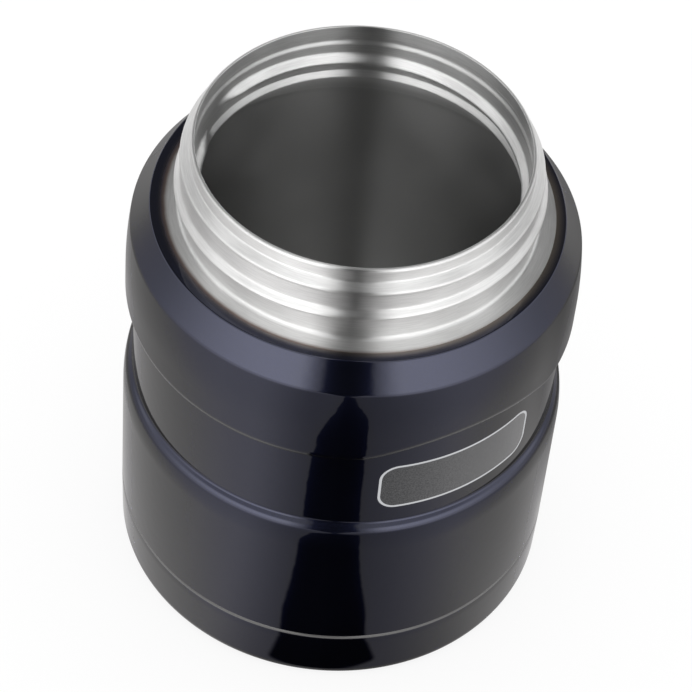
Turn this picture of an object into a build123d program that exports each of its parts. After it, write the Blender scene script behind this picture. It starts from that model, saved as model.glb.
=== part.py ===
# Vacuum food jar, open at the top: a double-walled steel flask with a painted outer shell.
#
# Millimetres. The origin is the centre of the foot on the table, +Z is up along the jar's axis, and
# the badge on the waist faces -Y. Every piece is pressed or drawn sheet, so most are a profile line
# in the XZ plane, thickened to the sheet's gauge and revolved. A bend's size is its inside radius.

from build123d import *

import math
import os

os.makedirs("parts", exist_ok=True)

# Sheet gauges
shell_wall = 0.5
collar_wall = 0.42
liner_wall = 0.42
pan_wall = 0.5
cup_wall = 0.42
foil_wall = 0.12
clip_wall = 0.3

# Outer form, from the mouth outwards
mouth_r = 33.9
neck_step = 1.76  # the neck's wall stands out from the band under the lip by this
flange_w = 3.9  # bare flange between the neck and the paint's edge
shoulder_strip_w = 2.1  # flat painted strip
shoulder_chamfer_w = 3.9
ring_draw_in = 0.8  # the shoulder ring draws in by this from its straight foot to its top
ring_step = 1.8  # the shoulder ring stands out from the waist by this
body_step = 2.0  # and the lower body by this

# Outer form, from the table up
body_top_z = 50.9
waist_chamfer_h = 2.0
waist_h = 21.4
ring_h = 19.6
ring_straight_h = 5.5  # straight foot of the ring, which holds the arch
shoulder_chamfer_h = 5.8
neck_h = 17.5
lip_band_h = 3.1  # straight band under the lip, where collar and liner lie together
neck_shoulder_h = 1.35  # slope from the band out to the neck's wall

# Arch of the ring's underside over the badge
arch_half_angle = 27.5  # degrees each side of the front
arch_rise = 3.9
arch_blend = 8.0  # radius where the arch runs into the level edge

# Bends of the shell and the collar
shoulder_edge_bend = 0.3
ring_top_bend = 1.5
ring_bottom_bend = 0.7
step_root_round = 0.35
waist_foot_round = 0.4
body_top_bend = 1.5
neck_foot_round = 1.0
neck_shoulder_bend = 0.6
lip_band_round = 0.5

# Base cup
base_cup_h = 15.0
cup_foot_bend = 2.48
foot_ring_w = 8.22  # from the base's outside to its recess
cup_recess_rise = 1.6
cup_recess_bend = 0.6
cup_rim_round = 0.2
shell_foot_gap = 0.1  # the shell's cut edge stops this far above the cup's bend
seam_gap = 0.1  # between the cup's rim and the joggle that draws the shell in for it
joggle_h = 0.45

# Liner
vacuum_gap = 3.3  # between the liner and the waist
throat_w = 0.9  # the throat, which the stopper screws into, stands in from the mouth by this
throat_rise = 2.7  # foot of the throat above the flange
throat_h = 5.9
throat_slope_h = 1.6  # from the throat out to the mouth's wall
throat_bend = 0.6
liner_slope_h = 9.42  # from the throat's foot out to the liner's wall
liner_bend = 3.0
lip_round = 0.18

# Floor of the liner
floor_gap = 6.5  # between the pan and the floor
floor_corner = 9.0
floor_wall_h = 11.5  # from the floor up to the weld
floor_flat_w = 8.18  # from the corner's bend to the raised middle
floor_panel_rise = 1.0
floor_panel_slope = 4.0
floor_panel_bend = 0.4

# Pan, its dimple and the bead
pan_rim_h = 3.0
pan_rim_bend = 0.7
dimple_r = 6.0
dimple_flat_r = 3.2
dimple_rise = 1.6
dimple_bend = 0.1
hole_r = 1.0
bead_r = 2.4
bead_drop = 0.9

# Getter and foil
pill_r = 4.5
pill_h = 2.2
clip_clearance = 0.2
clip_flange = 2.6
window_r = 0.9
window_circle_r = 2.4
window_count = 4
foil_gap = 1.0  # the foil stays this far from seams and bends

# Radii that follow
neck_r = mouth_r + liner_wall  # liner and collar lie against each other
neck_outer_r = neck_r + collar_wall
neck_wall_r = neck_outer_r + neck_step
paint_edge_r = neck_wall_r + flange_w
shoulder_r = paint_edge_r + shoulder_strip_w
ring_top_r = shoulder_r + shoulder_chamfer_w
ring_r = ring_top_r + ring_draw_in
waist_r = ring_r - ring_step
body_r = waist_r + body_step
cup_r = body_r  # the cup lies flush with the body, over the shell's drawn-in foot
foot_r = cup_r - cup_wall
pan_r = foot_r - shell_wall
liner_outer_r = waist_r - shell_wall - vacuum_gap
liner_r = liner_outer_r - liner_wall
throat_r = mouth_r - throat_w
floor_panel_foot_r = liner_r - floor_corner - floor_flat_w
floor_panel_r = floor_panel_foot_r - floor_panel_slope
recess_foot_r = cup_r - foot_ring_w
recess_r = recess_foot_r - cup_recess_rise
clip_r = pill_r + clip_clearance + clip_wall
clip_flange_r = clip_r + clip_flange

# Heights that follow
waist_foot_z = body_top_z + waist_chamfer_h
ring_bottom_z = waist_foot_z + waist_h
ring_straight_z = ring_bottom_z + ring_straight_h
ring_top_z = ring_bottom_z + ring_h
shoulder_z = ring_top_z + shoulder_chamfer_h
lip_z = shoulder_z + neck_h
lip_fold_z = lip_z - liner_wall
lip_band_z = lip_z - lip_band_h
neck_shoulder_z = lip_band_z - neck_shoulder_h
shell_foot_z = cup_wall + cup_foot_bend + shell_foot_gap
joggle_z = base_cup_h + seam_gap
pan_z = shell_foot_z + pan_rim_h
dimple_under_z = pan_z + dimple_rise - pan_wall
floor_z = pan_z + floor_gap
floor_under_z = floor_z - liner_wall
floor_weld_z = floor_z + floor_wall_h
panel_under_z = floor_under_z + floor_panel_rise
throat_foot_z = shoulder_z + throat_rise
throat_top_z = throat_foot_z + throat_h
mouth_foot_z = throat_top_z + throat_slope_h
liner_shoulder_z = throat_foot_z - liner_slope_h

# The ring's step is shallow, so its two bends share it.
ring_bottom_fillet = min(ring_bottom_bend + shell_wall, 0.75 * ring_step)
step_root_fillet = min(step_root_round, 0.22 * ring_step)


def is_ring_at(edge, radius, low, high):
    """True for an edge that lies on a cylinder round the axis, between two heights."""
    spread = [abs(math.hypot(point.X, point.Y) - radius) for point in (edge @ 0, edge @ 0.5, edge @ 1)]
    return max(spread) < 0.01 and low < edge.center().Z < high


# The shell starts as a filled form, gets its arch and bends, and is then hollowed to its gauge.
with BuildPart() as outer_shell:
    with BuildSketch(Plane.XZ):
        with BuildLine():
            Polyline(
                (0, shell_foot_z),
                (foot_r, shell_foot_z),
                (foot_r, joggle_z),
                (body_r, joggle_z + joggle_h),
                (body_r, body_top_z),
                (waist_r, waist_foot_z),
                (waist_r, ring_bottom_z),
                (ring_r, ring_bottom_z),
                (ring_r, ring_straight_z),
                (ring_top_r, ring_top_z),
                (shoulder_r, shoulder_z),
                (0, shoulder_z),
                close=True,
            )
        make_face()
    revolve(axis=Axis.Z)

    arch_half = ring_r * math.sin(math.radians(arch_half_angle))
    arch_reach = arch_half + 1.5 * arch_blend
    arch_floor_z = ring_bottom_z - 2 * arch_rise
    with BuildPart(mode=Mode.PRIVATE) as arch_cut:
        with BuildSketch(Plane.XZ) as arch_front:
            with BuildLine():
                Line((-arch_reach, ring_bottom_z), (-arch_half, ring_bottom_z))
                ThreePointArc(
                    (-arch_half, ring_bottom_z), (0, ring_bottom_z + arch_rise), (arch_half, ring_bottom_z)
                )
                Polyline(
                    (arch_half, ring_bottom_z),
                    (arch_reach, ring_bottom_z),
                    (arch_reach, arch_floor_z),
                    (-arch_reach, arch_floor_z),
                    (-arch_reach, ring_bottom_z),
                )
            make_face()
            springers = arch_front.vertices().filter_by(
                lambda corner: abs(abs(corner.X) - arch_half) < 0.01 and abs(corner.Y - ring_bottom_z) < 0.01
            )
            fillet(springers, arch_blend)
        extrude(amount=2 * ring_r)
        with BuildSketch(Plane.XY.offset(arch_floor_z)):
            Circle(waist_r)
        extrude(amount=4 * arch_rise, mode=Mode.SUBTRACT)
    add(arch_cut.part, mode=Mode.SUBTRACT)

    step_low_z = ring_bottom_z - 0.5
    step_high_z = ring_bottom_z + arch_rise + 0.5
    ring_lower_edge = outer_shell.edges().filter_by(
        lambda edge: is_ring_at(edge, ring_r, step_low_z, step_high_z)
    )
    fillet(ring_lower_edge, ring_bottom_fillet)
    step_root = outer_shell.edges().filter_by(
        lambda edge: is_ring_at(edge, waist_r, step_low_z, step_high_z)
    )
    fillet(step_root, step_root_fillet)
    for radius, height, outer_bend in (
        (body_r, body_top_z, body_top_bend + shell_wall),
        (waist_r, waist_foot_z, waist_foot_round),
        (ring_top_r, ring_top_z, ring_top_bend + shell_wall),
        (shoulder_r, shoulder_z, shoulder_edge_bend + shell_wall),
    ):
        bend_edge = outer_shell.edges().filter_by(
            lambda edge: is_ring_at(edge, radius, height - 0.01, height + 0.01)
        )
        fillet(bend_edge, outer_bend)

    foot_face = outer_shell.faces().sort_by(Axis.Z)[0]
    offset(amount=-shell_wall, openings=foot_face)
    with BuildSketch(Plane.XY.offset(shoulder_z)):
        Circle(paint_edge_r)
    extrude(amount=-2 * shell_wall, mode=Mode.SUBTRACT)

outer_shell.part.label = "outer_shell"
export_step(outer_shell.part, "parts/outer_shell.step")


# Bare collar: a flange level with the shell's shoulder, turned up into the neck, which is drawn in
# under the lip to meet the liner.
with BuildPart() as neck_collar:
    with BuildSketch(Plane.XZ):
        with BuildLine():
            FilletPolyline(
                (paint_edge_r, shoulder_z),
                (neck_wall_r, shoulder_z),
                (neck_wall_r, neck_shoulder_z),
                (neck_outer_r, lip_band_z),
                (neck_outer_r, lip_fold_z),
                radius=[neck_foot_round, neck_shoulder_bend + collar_wall, lip_band_round],
            )
            offset(amount=collar_wall, side=Side.LEFT)
        make_face()
    revolve(axis=Axis.Z)

neck_collar.part.label = "neck_collar"
export_step(neck_collar.part, "parts/neck_collar.step")


# Liner: straight wall, shoulder, the throat for the stopper's thread, the mouth, and the lip folded
# out over the collar's edge.
with BuildPart() as inner_vessel:
    with BuildSketch(Plane.XZ):
        with BuildLine():
            FilletPolyline(
                (liner_r, floor_weld_z),
                (liner_r, liner_shoulder_z),
                (throat_r, throat_foot_z),
                (throat_r, throat_top_z),
                (mouth_r, mouth_foot_z),
                (mouth_r, lip_z),
                radius=[
                    liner_bend,
                    throat_bend + liner_wall,
                    throat_bend + liner_wall,
                    throat_bend + liner_wall,
                ],
            )
            offset(amount=liner_wall, side=Side.RIGHT)
        make_face()
        with Locations((neck_r, lip_fold_z)):
            Rectangle(collar_wall, liner_wall, align=(Align.MIN, Align.MIN))
    revolve(axis=Axis.Z)
    lip_edges = inner_vessel.edges().filter_by(
        lambda edge: is_ring_at(edge, neck_outer_r, lip_z - 0.01, lip_z + 0.01)
        or is_ring_at(edge, mouth_r, lip_z - 0.01, lip_z + 0.01)
    )
    fillet(lip_edges, lip_round)

inner_vessel.part.label = "inner_vessel"
export_step(inner_vessel.part, "parts/inner_vessel.step")


# Floor of the liner: a pressed bowl with a raised middle, welded edge to edge to the liner's wall.
with BuildPart() as inner_bottom:
    with BuildSketch(Plane.XZ):
        with BuildLine():
            FilletPolyline(
                (0, floor_z + floor_panel_rise),
                (floor_panel_r, floor_z + floor_panel_rise),
                (floor_panel_foot_r, floor_z),
                (liner_r, floor_z),
                (liner_r, floor_weld_z),
                radius=[floor_panel_bend + liner_wall, floor_panel_bend + liner_wall, floor_corner],
            )
            offset(amount=liner_wall, side=Side.RIGHT)
        make_face()
    revolve(axis=Axis.Z)

inner_bottom.part.label = "inner_bottom"
export_step(inner_bottom.part, "parts/inner_bottom.step")


# Pan that closes the vacuum space: its rim is turned down and welded inside the shell's foot.
with BuildPart() as outer_bottom:
    with BuildSketch(Plane.XZ):
        with BuildLine():
            FilletPolyline(
                (hole_r, pan_z + dimple_rise),
                (dimple_flat_r, pan_z + dimple_rise),
                (dimple_r, pan_z),
                (pan_r, pan_z),
                (pan_r, shell_foot_z),
                radius=[dimple_bend + pan_wall, dimple_bend + pan_wall, pan_rim_bend + pan_wall],
            )
            offset(amount=pan_wall, side=Side.RIGHT)
        make_face()
    revolve(axis=Axis.Z)

outer_bottom.part.label = "outer_bottom"
export_step(outer_bottom.part, "parts/outer_bottom.step")


# Solder-glass bead: it fills the pump-out hole and spreads as a low dome under the dimple.
with BuildPart() as seal_bead:
    with BuildSketch(Plane.XZ):
        with BuildLine():
            Polyline(
                (0, dimple_under_z - bead_drop),
                (0, dimple_under_z + pan_wall),
                (hole_r, dimple_under_z + pan_wall),
                (hole_r, dimple_under_z),
                (bead_r, dimple_under_z),
            )
            TangentArc((0, dimple_under_z - bead_drop), (bead_r, dimple_under_z), tangent=(1, 0))
        make_face()
    revolve(axis=Axis.Z)

seal_bead.part.label = "seal_bead"
export_step(seal_bead.part, "parts/seal_bead.step")


# Painted cup round the foot: rounded below, recessed in the middle, a sleeve over the shell's foot.
with BuildPart() as base_cup:
    with BuildSketch(Plane.XZ):
        with BuildLine():
            FilletPolyline(
                (0, cup_recess_rise),
                (recess_r, cup_recess_rise),
                (recess_foot_r, 0),
                (cup_r, 0),
                (cup_r, base_cup_h),
                radius=[cup_recess_bend + cup_wall, cup_recess_bend + cup_wall, cup_foot_bend + cup_wall],
            )
            offset(amount=cup_wall, side=Side.LEFT)
        make_face()
    revolve(axis=Axis.Z)
    cup_rim = base_cup.edges().filter_by(
        lambda edge: is_ring_at(edge, cup_r, base_cup_h - 0.01, base_cup_h + 0.01)
    )
    fillet(cup_rim, cup_rim_round)

base_cup.part.label = "base_cup"
export_step(base_cup.part, "parts/base_cup.step")


# Getter pellet, pressed up against the floor's raised middle.
with BuildPart() as getter_pill:
    with BuildSketch(Plane.XY.offset(panel_under_z)):
        Circle(pill_r)
    extrude(amount=-pill_h)

getter_pill.part.label = "getter_pill"
export_step(getter_pill.part, "parts/getter_pill.step")


# Clip: a pressed cup with a flange spot-welded to the floor and windows that let gas reach the pellet.
with BuildPart() as getter_clip:
    pill_under_z = panel_under_z - pill_h
    with BuildSketch(Plane.XZ):
        with BuildLine():
            Polyline(
                (0, pill_under_z),
                (clip_r - clip_wall, pill_under_z),
                (clip_r - clip_wall, panel_under_z),
                (clip_flange_r, panel_under_z),
            )
            offset(amount=clip_wall, side=Side.RIGHT, kind=Kind.INTERSECTION)
        make_face()
    revolve(axis=Axis.Z)
    with BuildSketch(Plane.XY.offset(pill_under_z)):
        with PolarLocations(window_circle_r, window_count):
            Circle(window_r)
    extrude(amount=-clip_wall, mode=Mode.SUBTRACT)

getter_clip.part.label = "getter_clip"
export_step(getter_clip.part, "parts/getter_clip.step")


# Foil round the liner's wall, clear of the weld below and of the shoulder's bend above.
with BuildPart() as foil_wrap:
    foil_foot_z = floor_weld_z + foil_gap
    foil_top_z = liner_shoulder_z - liner_bend - foil_gap
    with BuildSketch(Plane.XY.offset(foil_foot_z)):
        Circle(liner_outer_r + foil_wall)
        Circle(liner_outer_r, mode=Mode.SUBTRACT)
    extrude(amount=foil_top_z - foil_foot_z)

foil_wrap.part.label = "foil_wrap"
export_step(foil_wrap.part, "parts/foil_wrap.step")


# Foil under the flat part of the floor, round its raised middle.
with BuildPart() as foil_disc:
    with BuildSketch(Plane.XY.offset(floor_under_z)):
        Circle(liner_r - floor_corner - foil_gap)
        Circle(floor_panel_foot_r + foil_gap, mode=Mode.SUBTRACT)
    extrude(amount=-foil_wall)

foil_disc.part.label = "foil_disc"
export_step(foil_disc.part, "parts/foil_disc.step")
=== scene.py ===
# Vacuum food jar, open at the top. Metres; the axis is Z, the table is Z = 0 and the badge faces -Y.

import math

import bmesh
import bpy
from mathutils import Matrix, Vector


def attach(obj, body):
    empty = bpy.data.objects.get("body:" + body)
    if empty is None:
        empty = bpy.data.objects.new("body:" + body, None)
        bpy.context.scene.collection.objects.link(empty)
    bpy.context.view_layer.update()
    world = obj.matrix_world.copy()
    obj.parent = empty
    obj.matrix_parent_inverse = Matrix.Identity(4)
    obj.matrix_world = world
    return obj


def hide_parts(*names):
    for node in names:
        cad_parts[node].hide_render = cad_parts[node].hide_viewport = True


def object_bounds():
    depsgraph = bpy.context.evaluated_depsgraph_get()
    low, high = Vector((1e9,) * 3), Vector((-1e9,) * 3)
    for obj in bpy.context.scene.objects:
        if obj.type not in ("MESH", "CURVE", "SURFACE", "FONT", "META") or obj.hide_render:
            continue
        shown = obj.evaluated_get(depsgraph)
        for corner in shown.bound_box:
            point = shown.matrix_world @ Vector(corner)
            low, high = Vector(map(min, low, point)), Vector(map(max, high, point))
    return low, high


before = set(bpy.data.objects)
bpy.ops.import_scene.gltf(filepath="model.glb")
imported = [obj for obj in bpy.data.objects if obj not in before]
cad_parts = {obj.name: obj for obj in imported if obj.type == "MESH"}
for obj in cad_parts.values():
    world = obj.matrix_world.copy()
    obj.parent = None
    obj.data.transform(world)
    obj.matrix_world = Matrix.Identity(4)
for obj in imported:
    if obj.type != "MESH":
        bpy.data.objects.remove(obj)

cad_low, cad_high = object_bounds()
MM = 0.001


# Outer shell: one drawn sheet of stainless steel, sprayed midnight blue with a clear coat over it.
# The shoulder ring's underside is a rolled step that rises in an arch over the badge. The sheet's foot
# is drawn in, so that the base cup sits flush with the body.
shell_wall = 0.5
foot_r = 46.98
foot_low_z = 3.0
foot_top_z = 14.98
body_r = round(cad_high[0] / MM, 2)
body_low_z = 15.24
body_high_z = 47.8
body_brow_r = 46.85
body_brow_z = 51.25
waist_r = 45.4
waist_low_z = 52.6
waist_high_z = 73.25
ring_r = 47.2
ring_low_z = 74.64
ring_bend_z = 87.4
ring_top_r = 46.4
ring_top_z = 93.9
shoulder_r = 42.5
shoulder_z = 99.7
weld_r = 40.4

arch_low_z = 71.5
arch_high_z = 77.5
arch_half_turn = 27.5
arch_rise = 3.9
arch_blend = 0.5


def rounded_line(corners, segments=10, hold=0.12):
    """Points in mm along a line through (radius, height, bend) corners, each bend as an arc.

    A point at the distance hold before and after each arc keeps the straight runs straight.
    """
    points = []
    last = len(corners) - 1
    for i, (radius, height, bend) in enumerate(corners):
        here = Vector((radius, height))
        if bend == 0 or i in (0, last):
            points.append(here)
            continue
        to_before = (Vector(corners[i - 1][:2]) - here).normalized()
        to_after = (Vector(corners[i + 1][:2]) - here).normalized()
        half_turn = (math.pi - to_before.angle(to_after)) / 2
        reach = bend * math.tan(half_turn)
        centre = here + (to_before + to_after).normalized() * bend / math.cos(half_turn)
        start = here + to_before * reach - centre
        end = here + to_after * reach - centre
        points.append(centre + start + to_before * hold)
        for k in range(segments + 1):
            points.append(centre + start.slerp(end, k / segments).normalized() * bend)
        points.append(centre + end + to_after * hold)
    return points


def spun_sheet(name, points, wall, steps=288):
    """A round sheet piece: the line and its offset to the left, closed and spun round Z."""
    back = []
    for i, point in enumerate(points):
        before = points[max(i - 1, 0)]
        after = points[min(i + 1, len(points) - 1)]
        run = (after - before).normalized()
        back.append(point + Vector((-run.y, run.x)) * wall)
    mesh = bmesh.new()
    ring = [mesh.verts.new((max(p.x, 0) * MM, 0, p.y * MM)) for p in points + back[::-1]]
    for before, after in zip(ring, ring[1:] + ring[:1]):
        mesh.edges.new((before, after))
    bmesh.ops.spin(
        mesh,
        geom=mesh.verts[:] + mesh.edges[:],
        cent=(0, 0, 0),
        axis=(0, 0, 1),
        dvec=(0, 0, 0),
        angle=2 * math.pi,
        steps=steps,
        use_merge=True,
        use_duplicate=False,
    )
    bmesh.ops.remove_doubles(mesh, verts=mesh.verts, dist=0.004 * MM)
    bmesh.ops.recalc_face_normals(mesh, faces=mesh.faces)
    for face in mesh.faces:
        face.smooth = True
    piece = bpy.data.objects.new(name, bpy.data.meshes.new(name))
    mesh.to_mesh(piece.data)
    mesh.free()
    piece.data.set_sharp_from_angle(angle=math.radians(40))
    bpy.context.scene.collection.objects.link(piece)
    return piece


def add_node(tree, kind, inputs=(), **settings):
    """One node, with its settings; each input is set to a value or linked from a socket."""
    made = tree.nodes.new(kind)
    for key, value in settings.items():
        setattr(made, key, value)
    for key, value in dict(inputs).items():
        if isinstance(value, bpy.types.NodeSocket):
            tree.links.new(value, made.inputs[key])
        else:
            made.inputs[key].default_value = value
    return made


def math_node(tree, operation, *values):
    """The result of a Math node on the values."""
    return add_node(tree, "ShaderNodeMath", dict(enumerate(values)), operation=operation).outputs[0]


def product(tree, first, *others):
    """All the values multiplied."""
    for value in others:
        first = math_node(tree, "MULTIPLY", first, value)
    return first


def hypotenuse(tree, a, b):
    """The root of the sum of two squares."""
    a_squared = math_node(tree, "POWER", a, 2.0)
    b_squared = math_node(tree, "POWER", b, 2.0)
    return math_node(tree, "SQRT", math_node(tree, "ADD", a_squared, b_squared))


def front_angle(tree, axes):
    """The angle round Z from -Y, in radians, from a Separate XYZ node."""
    return math_node(tree, "ARCTAN2", axes.outputs[0], math_node(tree, "MULTIPLY", axes.outputs[1], -1.0))


def ramp_node(tree, value, start, end, low=0.0, high=1.0):
    """A smooth step from low to high while the value goes from start to end."""
    inputs = {"Value": value, "From Min": start, "From Max": end, "To Min": low, "To Max": high}
    return add_node(tree, "ShaderNodeMapRange", inputs, interpolation_type="SMOOTHSTEP").outputs[0]


def mix_node(tree, factor, a, b):
    """A colour mixed from a to b."""
    inputs = {"Factor": factor, 6: a, 7: b}
    return add_node(tree, "ShaderNodeMix", inputs, data_type="RGBA").outputs[2]


def noise_node(tree, place, scale, detail):
    """A noise value at a place."""
    inputs = {"Vector": place, "Scale": scale, "Detail": detail}
    return add_node(tree, "ShaderNodeTexNoise", inputs).outputs[0]


def bump_node(tree, height, strength, distance):
    """A normal that follows the height, whose distance is in mm."""
    inputs = {"Height": height, "Strength": strength, "Distance": distance * MM}
    return add_node(tree, "ShaderNodeBump", inputs).outputs[0]


def object_place(tree):
    """The piece's own coordinates, in metres."""
    return add_node(tree, "ShaderNodeTexCoord").outputs["Object"]


def new_group(name, *outputs):
    """A node group with float or colour or vector outputs, given as (name, kind)."""
    group = bpy.data.node_groups.new(name, "ShaderNodeTree")
    for title, kind in outputs:
        group.interface.new_socket(title, in_out="OUTPUT", socket_type="NodeSocket" + kind)
    return group


def new_material(name, **shader_inputs):
    """A material with one Principled shader, whose constants are set on its own sockets."""
    material = bpy.data.materials.new(name)
    material.use_nodes = True
    shader = material.node_tree.nodes["Principled BSDF"]
    for key, value in shader_inputs.items():
        shader.inputs[key.replace("_", " ")].default_value = value
    return material, material.node_tree, shader


shell_line = rounded_line([
    (foot_r, foot_low_z, 0),
    (foot_r, foot_top_z, 0),
    (body_r, body_low_z, 0.1),
    (body_r, body_high_z, 28.0),
    (body_brow_r, body_brow_z, 2.9),
    (waist_r, waist_low_z, 1.1),
    (waist_r, waist_high_z, 0.9),
    (ring_r, ring_low_z, 3.2),
    (ring_r, ring_bend_z, 95.0),
    (ring_top_r, ring_top_z, 2.0),
    (shoulder_r, shoulder_z, 0.5),
    (weld_r, shoulder_z, 0),
])
shell = spun_sheet("shell_skin", shell_line, shell_wall)
for vertex in shell.data.vertices:
    x, y, z = vertex.co
    if arch_low_z * MM < z < arch_high_z * MM:
        turn = math.degrees(math.atan2(x, -y)) / arch_half_turn
        arch = arch_rise * MM * (1 - turn * turn)
        vertex.co.z += 0.5 * (arch + math.sqrt(arch * arch + (arch_blend * MM) ** 2))

# The paint fades out where the shoulder meets the neck's flange, in a slightly uneven ring that was
# sprayed a little off the axis.
paint_offset = (0.57 * MM, -0.41 * MM, 0)
paint_starts_r = 39.1
paint_full_r = 41.9
paint_wander = 0.3

paint_edge = new_group("paint_edge", ("Paint", "Float"))
place = object_place(paint_edge)
sprayed = add_node(paint_edge, "ShaderNodeVectorMath", {0: place, 1: paint_offset}, operation="SUBTRACT")
axes = add_node(paint_edge, "ShaderNodeSeparateXYZ", {0: sprayed.outputs[0]})
ragged = noise_node(paint_edge, place, 260.0, 3.0)
wander = math_node(paint_edge, "MULTIPLY_ADD", ragged, paint_wander * MM, -0.5 * paint_wander * MM)
reached = math_node(paint_edge, "ADD", hypotenuse(paint_edge, axes.outputs[0], axes.outputs[1]), wander)
painted_part = ramp_node(paint_edge, reached, paint_starts_r * MM, paint_full_r * MM)
add_node(paint_edge, "NodeGroupOutput", {0: painted_part})

# The badge's place is a printed grey panel with a light border and rounded corners.
panel_z = 63.6
panel_half_w = 14.4
panel_half_h = 2.6
panel_corner_r = 3.5
panel_border_w = 0.55
panel_soft = 0.05

panel = new_group("printed_panel", ("Field", "Float"), ("Border", "Float"))
axes = add_node(panel, "ShaderNodeSeparateXYZ", {0: object_place(panel)})
across = math_node(panel, "ABSOLUTE", math_node(panel, "MULTIPLY", front_angle(panel, axes), waist_r))
along = math_node(panel, "ABSOLUTE", math_node(panel, "MULTIPLY_ADD", axes.outputs[2], 1 / MM, -panel_z))
beyond_side = math_node(panel, "MAXIMUM", math_node(panel, "SUBTRACT", across, panel_half_w), 0.0)
beyond_top = math_node(panel, "MAXIMUM", math_node(panel, "SUBTRACT", along, panel_half_h), 0.0)
reach = hypotenuse(panel, beyond_side, beyond_top)
field_low = panel_corner_r - panel_soft
field_high = panel_corner_r + panel_soft
field = ramp_node(panel, reach, field_high, field_low)
past_field = ramp_node(panel, reach, field_low, field_high)
within_border = ramp_node(panel, reach, field_high + panel_border_w, field_low + panel_border_w)
add_node(panel, "NodeGroupOutput", {0: field, 1: product(panel, past_field, within_border)})

deep_blue = (0.011, 0.013, 0.034, 1)
flake_blue = (0.017, 0.020, 0.046, 1)
edge_reflection_brown = (0.30, 0.26, 0.22, 1)
panel_dark = (0.026, 0.027, 0.029, 1)
panel_pale = (0.062, 0.063, 0.065, 1)
border_silver = (0.56, 0.57, 0.59, 1)
rim_highlight_grey = (0.15, 0.147, 0.144, 1)

# Low on the jar everything is painted, the underside's middle too. On the base cup's rim a fine grey
# line is painted in as a highlight.
painted_below_z = 50.0
edge_counts_above_z = 60.0
rim_line_starts_z = 14.1
rim_line_full_z = 14.5
rim_line_fades_z = 14.98
rim_line_ends_z = 15.12

paint, tree, shader = new_material(
    "painted_steel",
    Specular_Tint=(0.12, 0.12, 0.16, 1),
    Coat_IOR=1.5,
    Coat_Roughness=0.03,
)
place = object_place(tree)
rise = add_node(tree, "ShaderNodeSeparateXYZ", {0: place}).outputs[2]
paint_mask = add_node(tree, "ShaderNodeGroup", node_tree=paint_edge).outputs["Paint"]
low_down = ramp_node(tree, rise, edge_counts_above_z * MM, painted_below_z * MM)
paint_mask = math_node(tree, "MAXIMUM", paint_mask, low_down)
flake_tone = ramp_node(tree, noise_node(tree, place, 6000.0, 2.0), 0.3, 0.7)
blue = mix_node(tree, flake_tone, deep_blue, flake_blue)
# Where the paint thins out at its edge it turns brown: a painted reflection.
colour = mix_node(tree, paint_mask, edge_reflection_brown, blue)
print_mask = add_node(tree, "ShaderNodeGroup", node_tree=panel)
speckle_tone = ramp_node(tree, noise_node(tree, place, 3500.0, 2.0), 0.35, 0.65)
grey = mix_node(tree, speckle_tone, panel_dark, panel_pale)
colour = mix_node(tree, print_mask.outputs["Field"], colour, grey)
colour = mix_node(tree, print_mask.outputs["Border"], colour, border_silver)
# A fine grey line on the cup's rim: a painted highlight.
above_line_foot = ramp_node(tree, rise, rim_line_starts_z * MM, rim_line_full_z * MM)
below_line_top = ramp_node(tree, rise, rim_line_ends_z * MM, rim_line_fades_z * MM)
rim_highlight_mask = product(tree, above_line_foot, below_line_top)
colour = mix_node(tree, rim_highlight_mask, colour, rim_highlight_grey)
tree.links.new(colour, shader.inputs["Base Color"])
printed = math_node(tree, "ADD", print_mask.outputs["Field"], print_mask.outputs["Border"])
not_metal = math_node(tree, "MAXIMUM", printed, rim_highlight_mask)
tree.links.new(math_node(tree, "SUBTRACT", 1.0, not_metal), shader.inputs["Metallic"])
clouds = noise_node(tree, place, 45.0, 3.0)
tree.links.new(ramp_node(tree, clouds, 0.3, 0.7, 0.20, 0.24), shader.inputs["Roughness"])
tree.links.new(paint_mask, shader.inputs["Coat Weight"])
peel = noise_node(tree, place, 420.0, 1.0)
tree.links.new(bump_node(tree, peel, 0.06, 0.2), shader.inputs["Coat Normal"])
shell.data.materials.append(paint)
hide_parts("outer_shell")
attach(shell, "root")


# Base cup: a painted steel cup pressed up over the foot of the shell, rounded below, with a recess
# in its middle. Its rim catches the light as a fine line round the jar, helped by a painted highlight.
cup_wall = 0.4
rim_inner_z = 14.9
rim_r = 47.03
rim_z = 14.97
rim_outer_r = 47.39
rim_outer_z = 14.42
cup_wall_top_z = 14.3
cup_wall_low_z = 12.5
cup_foot_r = 47.15
recess_edge_r = 39.18
recess_r = 37.58
recess_z = 1.6

cup_line = rounded_line([
    (foot_r, rim_inner_z, 0),
    (rim_r, rim_z, 0),
    (rim_outer_r, rim_outer_z, 0),
    (body_r, cup_wall_top_z, 0),
    (body_r, cup_wall_low_z, 6.0),
    (cup_foot_r, 0.0, 3.0),
    (recess_edge_r, 0.0, 1.02),
    (recess_r, recess_z, 1.02),
    (0.0, recess_z, 0),
])
cup = spun_sheet("base_cup_skin", cup_line, -cup_wall)
cup.data.materials.append(paint)
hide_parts("base_cup")
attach(cup, "root")


# Neck collar: bare stainless sheet turned on a lathe, so its grain runs round the axis. A flange level
# with the shoulder turns up into the neck, which carries a rolled screw ridge and is drawn in on top.
collar_wall = 0.4
neck_r = 36.5
neck_top_z = 111.75
step_r = 36.95
step_z = 112.7
lip_r = 34.74
step_top_z = 114.1
lip_seam_z = 116.3

# The screw ridges of neck and throat go once round from one starting angle and fade in and out there.
thread_turn = 35.5
thread_start = -113
thread_run_out = 16
neck_ridge_z = 106.45
neck_ridge_lead = 4.27
neck_ridge_w = 3.4
neck_ridge_h = 1.28


def divided(points, low, high, step=0.2):
    """The same line, with its runs between two heights divided into short steps."""
    divided_points = [points[0]]
    for before, after in zip(points, points[1:]):
        inside = low < before.y < high or low < after.y < high
        count = max(1, round((after - before).length / step)) if inside else 1
        for k in range(1, count + 1):
            divided_points.append(before.lerp(after, k / count))
    return divided_points


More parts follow.
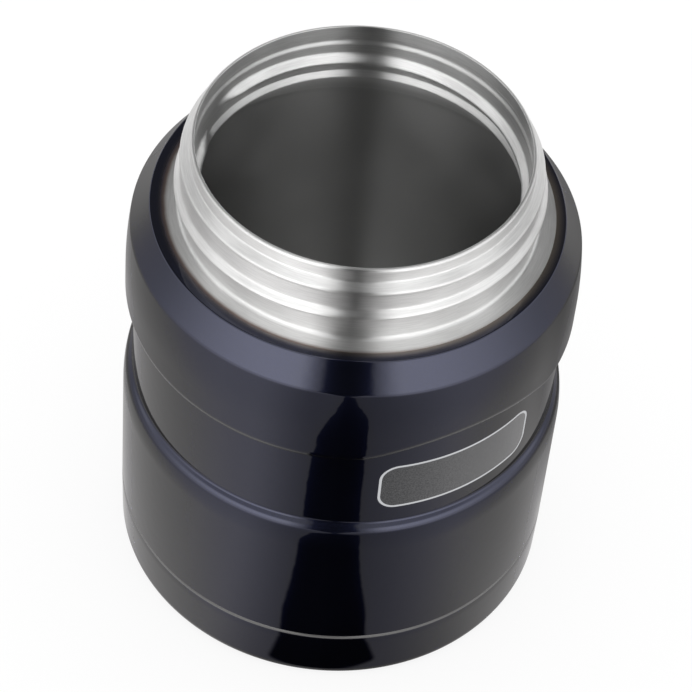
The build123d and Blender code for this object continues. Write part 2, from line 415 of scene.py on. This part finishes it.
def thread_angle(x, y):
    """Degrees round the axis, from thread_start through one full turn, as the screw ridges climb."""
    angle = math.degrees(math.atan2(x, -y)) + thread_turn
    return (angle - thread_start) % 360 + thread_start


def run_out(angle):
    """The share of its full height that a screw ridge has at an angle, from 0 to 1."""
    from_start = (angle - thread_start) / thread_run_out
    to_stop = (thread_start + 360 - angle) / thread_run_out
    return 0.5 - 0.5 * math.cos(math.pi * min(1, from_start, to_stop))


def swell(across):
    """A smooth rise from 0 at -0.5 to 1 in the middle and back to 0 at 0.5."""
    return 0.5 + 0.5 * math.cos(2 * math.pi * across) if abs(across) < 0.5 else 0.0


collar_line = rounded_line([
    (weld_r, shoulder_z, 0),
    (neck_r, shoulder_z, 1.0),
    (neck_r, neck_top_z, 0.5),
    (step_r, step_z, 0.7),
    (lip_r, step_top_z, 0.5),
    (lip_r, lip_seam_z, 0),
], segments=8)
collar_line = divided(collar_line, low=101.0, high=112.0)
collar = spun_sheet("neck_collar_skin", collar_line, collar_wall, steps=320)
for vertex in collar.data.vertices:
    x, y, z = vertex.co
    angle = thread_angle(x, y)
    across = (z / MM - neck_ridge_z - neck_ridge_lead * angle / 360) / neck_ridge_w
    scale = 1 + neck_ridge_h * MM * swell(across) * run_out(angle) / math.hypot(x, y)
    vertex.co.x *= scale
    vertex.co.y *= scale

# Turned steel: fine grooves round the axis, with the light drawn out across them.
groove_scale = 4500.0
groove_turn_scale = 9.0
steel_dark = (0.66, 0.66, 0.655, 1)
steel_pale = (0.78, 0.78, 0.775, 1)

turned = new_group("turned_steel", ("Color", "Color"), ("Roughness", "Float"), ("Normal", "Vector"))
place = object_place(turned)
axes = add_node(turned, "ShaderNodeSeparateXYZ", {0: place})
from_axis = hypotenuse(turned, axes.outputs[0], axes.outputs[1])
round_axis = math_node(turned, "ARCTAN2", axes.outputs[0], axes.outputs[1])
rings = add_node(turned, "ShaderNodeCombineXYZ", {
    0: math_node(turned, "MULTIPLY", from_axis, groove_scale),
    1: math_node(turned, "MULTIPLY", axes.outputs[2], groove_scale),
    2: math_node(turned, "MULTIPLY", round_axis, groove_turn_scale),
})
grooves = noise_node(turned, rings.outputs[0], 1.0, 2.0)
blotches = noise_node(turned, place, 70.0, 1.5)
blotch_tone = math_node(turned, "MULTIPLY", ramp_node(turned, blotches, 0.35, 0.65), 0.35)
tone = math_node(turned, "MULTIPLY_ADD", ramp_node(turned, grooves, 0.3, 0.7), 0.65, blotch_tone)
add_node(turned, "NodeGroupOutput", {
    0: mix_node(turned, tone, steel_dark, steel_pale),
    1: ramp_node(turned, blotches, 0.3, 0.7, 0.29, 0.33),
    2: bump_node(turned, grooves, 0.2, 0.03),
})


def turned_finish(tree, shader):
    """Put the turned steel's roughness, normal and grain direction on a shader; returns its colour."""
    finish = add_node(tree, "ShaderNodeGroup", node_tree=turned)
    tree.links.new(finish.outputs["Roughness"], shader.inputs["Roughness"])
    tree.links.new(finish.outputs["Normal"], shader.inputs["Normal"])
    facing = add_node(tree, "ShaderNodeNewGeometry").outputs["Normal"]
    round_way = add_node(
        tree, "ShaderNodeVectorMath", {0: (0, 0, 1), 1: object_place(tree)}, operation="CROSS_PRODUCT"
    )
    profile_way = add_node(
        tree, "ShaderNodeVectorMath", {0: facing, 1: round_way.outputs[0]}, operation="CROSS_PRODUCT"
    )
    tree.links.new(profile_way.outputs[0], shader.inputs["Tangent"])
    return finish.outputs["Color"]


flange_reflection_brown = (0.20, 0.15, 0.13, 1)
flange_blue = (0.017, 0.019, 0.05, 1)

collar_steel, tree, shader = new_material(
    "turned_steel_collar",
    Metallic=1.0,
    Anisotropic=1.0,
    Coat_IOR=1.5,
    Coat_Roughness=0.03,
)
bare = turned_finish(tree, shader)
paint_mask = add_node(tree, "ShaderNodeGroup", node_tree=paint_edge).outputs["Paint"]
# Where the paint thins out on the flange a brown tint is mixed in: a painted reflection.
reflection_tinted = mix_node(tree, ramp_node(tree, paint_mask, 0.0, 0.5), bare, flange_reflection_brown)
painted = mix_node(tree, ramp_node(tree, paint_mask, 0.3, 1.0), reflection_tinted, flange_blue)
tree.links.new(painted, shader.inputs["Base Color"])
tree.links.new(paint_mask, shader.inputs["Coat Weight"])
collar.data.materials.append(collar_steel)
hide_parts("neck_collar")
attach(collar, "root")


# Liner: bare stainless sheet, spun and turned. Its lip is folded out over the collar's edge, and below
# it come a level rolled groove, the ridge for the stopper, the ledge it seals on and the food cavity.
# Below the ledge the sheet is a darker grey, painted shade down in the cavity.
liner_wall = 0.36
lip_z = round(cad_high[2] / MM, 2)
lip_chamfer = 0.08
mouth_r = 33.9
mouth_low_z = 105.2
throat_r = 33.0
throat_z = 103.7
cavity_r = 41.18
cavity_top_z = 92.98
floor_seam_z = 24.0

throat_ridge_z = 106.2
throat_ridge_lead = 4.0
throat_ridge_w = 3.8
throat_ridge_h = 1.55
throat_ridge_low_z = 103.5
groove_z = 113.4
groove_w = 2.6
groove_depth = 0.4

cavity_shade_grey = (0.52, 0.52, 0.515, 1)
cavity_shade_starts_z = 103.5
cavity_shade_full_z = 96.0

liner_line = rounded_line([
    (lip_r, lip_seam_z, 0),
    (lip_r, lip_z, 0.62),
    (mouth_r + lip_chamfer, lip_z, 0),
    (mouth_r, lip_z - lip_chamfer, 0),
    (mouth_r, mouth_low_z, 0.6),
    (throat_r, throat_z, 0.45),
    (cavity_r, cavity_top_z, 3.4),
    (cavity_r, floor_seam_z, 0),
], segments=6)
liner_line = divided(liner_line, low=104.5, high=115.5)
liner = spun_sheet("liner_skin", liner_line, liner_wall, steps=320)
for vertex in liner.data.vertices:
    x, y, z = vertex.co
    radius = math.hypot(x, y)
    angle = thread_angle(x, y)
    across = (z / MM - throat_ridge_z - throat_ridge_lead * angle / 360) / throat_ridge_w
    if z > throat_ridge_low_z * MM:
        radius -= throat_ridge_h * MM * swell(across) * run_out(angle)
    radius += groove_depth * MM * swell((z / MM - groove_z) / groove_w)
    scale = radius / math.hypot(x, y)
    vertex.co.x *= scale
    vertex.co.y *= scale

liner_steel, tree, shader = new_material(
    "turned_steel_liner",
    Metallic=1.0,
    Anisotropic=1.0,
)
bare = turned_finish(tree, shader)
rise = add_node(tree, "ShaderNodeSeparateXYZ", {0: object_place(tree)}).outputs[2]
# Darker grey below the ledge: painted shade in the cavity.
below_ledge = ramp_node(tree, rise, cavity_shade_starts_z * MM, cavity_shade_full_z * MM)
tree.links.new(mix_node(tree, below_ledge, bare, cavity_shade_grey), shader.inputs["Base Color"])
liner.data.materials.append(liner_steel)
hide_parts("inner_vessel")
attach(liner, "root")


# Floor of the liner: a pressed steel bowl with a raised middle, butt-welded to the liner's wall.
# It has the liner's darker grey, painted shade down in the cavity.
floor_z = 12.5
floor_ring_r = 24.0
raised_r = 20.0
raised_z = 13.5

floor_line = rounded_line([
    (cavity_r, floor_seam_z, 0),
    (cavity_r, floor_z, 9.0),
    (floor_ring_r, floor_z, 0.82),
    (raised_r, raised_z, 0.82),
    (0.0, raised_z, 0),
], segments=12)
liner_floor = spun_sheet("liner_floor_skin", floor_line, liner_wall)
liner_floor.data.materials.append(liner_steel)
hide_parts("inner_bottom")
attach(liner_floor, "root")


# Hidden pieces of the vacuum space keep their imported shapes: the steel pan and getter clip, the solder
# glass bead, the sintered pellet and the bright foil each get their own finish.
solder_glass, tree, shader = new_material(
    "solder_glass",
    Roughness=0.18,
    IOR=1.7,
)
cloud = noise_node(tree, object_place(tree), 1500.0, 3.0)
glass_colour = mix_node(tree, cloud, (0.08, 0.08, 0.09, 1), (0.13, 0.13, 0.14, 1))
tree.links.new(glass_colour, shader.inputs["Base Color"])

pellet, tree, shader = new_material(
    "sintered_pellet",
    Metallic=0.6,
)
grains = add_node(tree, "ShaderNodeTexVoronoi", {"Vector": object_place(tree), "Scale": 4000.0})
grain = grains.outputs["Distance"]
pellet_colour = mix_node(tree, grain, (0.14, 0.14, 0.15, 1), (0.30, 0.30, 0.31, 1))
tree.links.new(pellet_colour, shader.inputs["Base Color"])
tree.links.new(ramp_node(tree, grain, 0.0, 1.0, 0.7, 0.95), shader.inputs["Roughness"])
tree.links.new(bump_node(tree, grain, 0.4, 0.1), shader.inputs["Normal"])

foil, tree, shader = new_material(
    "bright_foil",
    Metallic=1.0,
)
creases = add_node(
    tree,
    "ShaderNodeTexVoronoi",
    {"Vector": object_place(tree), "Scale": 160.0},
    feature="DISTANCE_TO_EDGE",
)
crease = creases.outputs["Distance"]
foil_colour = mix_node(tree, crease, (0.86, 0.86, 0.87, 1), (0.92, 0.92, 0.93, 1))
tree.links.new(foil_colour, shader.inputs["Base Color"])
tree.links.new(ramp_node(tree, crease, 0.0, 0.3, 0.22, 0.12), shader.inputs["Roughness"])
tree.links.new(bump_node(tree, crease, 0.3, 0.2), shader.inputs["Normal"])

for node_name, finish_material in (
    ("outer_bottom", liner_steel),
    ("getter_clip", liner_steel),
    ("seal_bead", solder_glass),
    ("getter_pill", pellet),
    ("foil_wrap", foil),
    ("foil_disc", foil),
):
    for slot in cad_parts[node_name].material_slots:
        slot.material = finish_material


# Studio: a white floor and surround. The camera sees them plain white, with a faint shadow under the
# jar; the jar's gloss sees a pale floor with a dark strip in front, two soft boxes beside the camera,
# lights above and a wall behind.
studio_turn = math.radians(35.5)


def studio_axes(tree, way):
    """A vector's X, Y and Z after a turn that puts the camera on the -Y side."""
    turned_way = add_node(tree, "ShaderNodeMapping", {"Vector": way, "Rotation": (0, 0, studio_turn)})
    return add_node(tree, "ShaderNodeSeparateXYZ", {0: turned_way.outputs[0]})


def soft_boxes(tree, bearing):
    """How bright the soft boxes left and right of the camera are at a bearing in degrees."""
    left = product(tree, ramp_node(tree, bearing, -110.0, -30.0), ramp_node(tree, bearing, -8.0, -20.0))
    right_fall = ramp_node(tree, bearing, 120.0, 32.0, 0.0, 0.9)
    right = product(tree, right_fall, ramp_node(tree, bearing, 13.0, 28.0))
    return math_node(tree, "ADD", left, right)


def back_wall(tree, away):
    """How bright the surround is, by degrees away from the camera."""
    return ramp_node(tree, away, 112.0, 150.0, 0.7, 1.3)


def dimmed(tree, level, mask, share):
    """The level, lowered to a share of itself where the mask is 1."""
    return product(tree, level, ramp_node(tree, mask, 0.0, 1.0, 1.0, share))


def shown_by_ray(tree, output_kind, seen, mirrored):
    """One shader for the camera and the soft light, and another for what gloss mirrors."""
    glossy_ray = add_node(tree, "ShaderNodeLightPath").outputs["Is Glossy Ray"]
    shown = add_node(tree, "ShaderNodeMixShader", {
        0: glossy_ray,
        1: seen.outputs[0],
        2: mirrored.outputs[0],
    })
    add_node(tree, output_kind, {0: shown.outputs[0]})


bpy.ops.mesh.primitive_plane_add(size=6, location=(0, 0, 0))
table_top = bpy.context.object
table_top.name = "table_top"
top_material = bpy.data.materials.new("table_top")
top_material.use_nodes = True
table_top.data.materials.append(top_material)
tree = top_material.node_tree
tree.nodes.clear()
place = object_place(tree)
axes = studio_axes(tree, place)
to_right = axes.outputs[0]
to_back = axes.outputs[1]

# The dark strip starts at the jar's foot and runs towards the camera. It bends a little to the right,
# widens, narrows again and spreads out far off.
strip_middle = ramp_node(tree, to_back, -0.085, -0.155, 0.0020, 0.0120)
from_middle = math_node(tree, "ABSOLUTE", math_node(tree, "SUBTRACT", to_right, strip_middle))
half_width = ramp_node(tree, to_back, -0.0545, -0.0640, 0.0134, 0.0158)
widening = ramp_node(tree, to_back, -0.074, -0.104, 0.0, 0.0042)
narrowing = ramp_node(tree, to_back, -0.125, -0.190, 1.0, 0.22)
half_width = product(tree, math_node(tree, "ADD", half_width, widening), narrowing)
far_width = math_node(tree, "MULTIPLY_ADD", to_back, -0.2, -0.044)
half_width = math_node(tree, "MAXIMUM", half_width, far_width)
past_edge = math_node(tree, "SUBTRACT", from_middle, half_width)
before_foot = ramp_node(tree, to_back, -0.0478, -0.0492)
strip = product(tree, ramp_node(tree, past_edge, 0.0012, -0.0012), before_foot)

# Near the jar the floor falls off to the back and is dimmer in front; far off it meets the surround.
bearing = math_node(tree, "DEGREES", front_angle(tree, axes))
away = math_node(tree, "ABSOLUTE", bearing)
pale = add_node(tree, "ShaderNodeMapRange", {
    "Value": away,
    "From Min": 50.0,
    "From Max": 160.0,
    "To Min": 0.82,
    "To Max": 0.24,
}).outputs[0]
left_part = ramp_node(tree, bearing, -8.0, -36.0, 0.45, 1.0)
right_part = product(
    tree,
    ramp_node(tree, bearing, 8.0, 62.0, 0.36, 0.86),
    ramp_node(tree, bearing, 72.0, 88.0, 1.0, 1.06),
    ramp_node(tree, bearing, 93.0, 113.0, 1.0, 0.62),
)
on_right = math_node(tree, "GREATER_THAN", bearing, 2.0)
sides = add_node(tree, "ShaderNodeMix", {"Factor": on_right, "A": left_part, "B": right_part})
near_level = dimmed(tree, product(tree, pale, sides.outputs[0]), strip, 0.03)
far_level = math_node(tree, "MULTIPLY_ADD", soft_boxes(tree, bearing), 1.06, back_wall(tree, away))
far_level = dimmed(tree, far_level, strip, 0.04)
distance = add_node(tree, "ShaderNodeVectorMath", {0: place}, operation="LENGTH").outputs["Value"]
far_off = ramp_node(tree, distance, 0.13, 0.45)
floor_level = add_node(tree, "ShaderNodeMix", {"Factor": far_off, "A": near_level, "B": far_level})
plain_white = add_node(tree, "ShaderNodeEmission", {"Color": (1, 1, 1, 1), "Strength": 0.86})
shadowed = add_node(tree, "ShaderNodeBsdfDiffuse", {"Color": (0.16, 0.16, 0.16, 1)})
seen_floor = add_node(tree, "ShaderNodeAddShader", {0: plain_white.outputs[0], 1: shadowed.outputs[0]})
mirrored_floor = add_node(
    tree, "ShaderNodeEmission", {"Color": (1, 0.985, 0.985, 1), "Strength": floor_level.outputs[0]}
)
shown_by_ray(tree, "ShaderNodeOutputMaterial", seen_floor, mirrored_floor)

world = bpy.data.worlds.new("studio")
bpy.context.scene.world = world
world.use_nodes = True
tree = world.node_tree
tree.nodes.clear()
axes = studio_axes(tree, add_node(tree, "ShaderNodeTexCoord").outputs["Generated"])
to_right = axes.outputs[0]
to_back = axes.outputs[1]
bearing = math_node(tree, "DEGREES", front_angle(tree, axes))
away = math_node(tree, "ABSOLUTE", bearing)
height = math_node(tree, "DEGREES", math_node(tree, "ARCSINE", axes.outputs[2]))

# The soft boxes stand beside the camera, from the floor to a third of the way up.
low_part = ramp_node(tree, height, -14.0, 12.0)
high_part = ramp_node(tree, height, 22.0, 34.0, 1.0, 0.16)
boxes = product(tree, soft_boxes(tree, bearing), low_part, high_part)

# The wall behind is dark above its foot. Over the camera hangs a light with a dark band near its middle.
high_behind = product(tree, ramp_node(tree, away, 104.0, 130.0), ramp_node(tree, height, 18.0, 38.0))
surround = dimmed(tree, back_wall(tree, away), high_behind, 0.12)
from_band = math_node(tree, "ABSOLUTE", math_node(tree, "SUBTRACT", to_right, 0.085))
overhead = product(
    tree,
    ramp_node(tree, height, 45.0, 58.0, 0.0, 0.85),
    ramp_node(tree, to_back, 0.05, -0.35),
    ramp_node(tree, from_band, 0.08, 0.20),
)
surround = math_node(tree, "ADD", surround, overhead)

# Two pairs of lights at the sides, the lower ones further back than the upper ones.
low_sides = product(
    tree,
    ramp_node(tree, away, 84.0, 104.0),
    ramp_node(tree, away, 145.0, 120.0),
    ramp_node(tree, height, 8.0, 18.0, 0.0, 0.75),
    ramp_node(tree, height, 36.0, 26.0),
)
surround = math_node(tree, "ADD", surround, low_sides)
upper_sides = product(
    tree,
    ramp_node(tree, away, 68.0, 88.0),
    ramp_node(tree, to_back, 0.22, 0.08),
    ramp_node(tree, height, 26.0, 36.0, 0.0, 0.85),
    ramp_node(tree, height, 58.0, 48.0),
)
surround = math_node(tree, "ADD", surround, upper_sides)

# A dark gap between the boxes carries the floor's strip up the surround.
gap = product(tree, ramp_node(tree, bearing, -11.0, -5.0), ramp_node(tree, bearing, 17.0, 11.0))
surround = dimmed(tree, surround, gap, 0.04)
mirrored_level = math_node(tree, "MULTIPLY_ADD", boxes, 1.9, surround)
seen_world = add_node(tree, "ShaderNodeBackground", {"Color": (1, 1, 1, 1), "Strength": 1.0})
mirrored_world = add_node(
    tree, "ShaderNodeBackground", {"Color": (1, 1, 1, 1), "Strength": mirrored_level}
)
shown_by_ray(tree, "ShaderNodeOutputWorld", seen_world, mirrored_world)


# Camera: a long lens above the front left of the jar, turned slightly on its own axis.
# It looks down into the mouth, with the badge to the right.
camera_data = bpy.data.cameras.new("camera")
camera_data.lens = 148.99
camera_data.sensor_width = 36.0
camera = bpy.data.objects.new("camera", camera_data)
bpy.context.scene.collection.objects.link(camera)
bpy.context.scene.camera = camera
camera_place = (-0.2365, -0.33156, 0.51743)
yaw = math.radians(35.537)
pitch = math.radians(48.58)
roll = math.radians(5.65)
forward = Vector((math.sin(yaw) * math.cos(pitch), math.cos(yaw) * math.cos(pitch), -math.sin(pitch)))
right = Vector((math.cos(yaw), -math.sin(yaw), 0))
up = right.cross(forward)
camera_x = right * math.cos(roll) + up * math.sin(roll)
camera_y = up * math.cos(roll) - right * math.sin(roll)
camera_turn = Matrix((camera_x, camera_y, -forward)).transposed().to_4x4()
camera.matrix_world = Matrix.Translation(camera_place) @ camera_turn

bpy.context.scene.view_settings.view_transform = "Standard"
